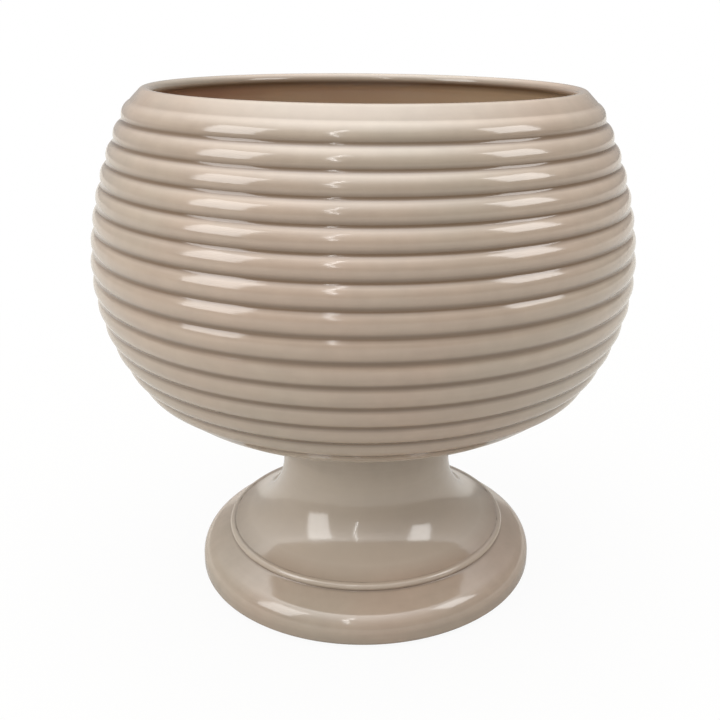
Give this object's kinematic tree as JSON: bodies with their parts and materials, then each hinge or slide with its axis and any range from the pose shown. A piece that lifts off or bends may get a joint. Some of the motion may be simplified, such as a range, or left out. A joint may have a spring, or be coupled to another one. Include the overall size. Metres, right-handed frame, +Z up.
{
  "type": "jardiniere on stand",
  "caption": "Round ribbed bowl planter in glazed ceramic with a rolled rim, standing in the recess of a hollow flared pedestal; the bowl turns and lifts off, and a soft plug closes its drain.",
  "frame": {"origin": "on the floor, under the middle of the stand", "axes": "+Z up along the axis that the bowl and the stand are turned about; X and Y are alike"},
  "size_m": [0.3996, 0.3996, 0.3799],
  "materials": {
    "glaze": "glossy greige glaze",
    "rubber": "matt soft rubber",
    "felt": "pressed felt"
  },
  "bodies": {
    "stand": {"stand": "glaze", "floor_pad_1": "felt", "floor_pad_2": "felt", "floor_pad_3": "felt", "floor_pad_4": "felt"},
    "seat_ring": {"seat_ring": "rubber"},
    "bowl": {"bowl": "glaze"},
    "drain_plug": {"drain_plug": "rubber"}
  },
  "joints": [
    {"name": "bowl_turn", "type": "hinge", "parent": "stand", "child": "seat_ring", "pos_m": [0, 0, 0.1356], "axis": [0, 0, 1], "continuous": true},
    {"name": "bowl_lift", "type": "slide", "parent": "seat_ring", "child": "bowl", "axis": [0, 0, 1], "range_m": [0, 0.12]},
    {"name": "plug_pull", "type": "slide", "parent": "bowl", "child": "drain_plug", "axis": [0, 0, 1], "range_m": [0, 0.26]}
  ]
}
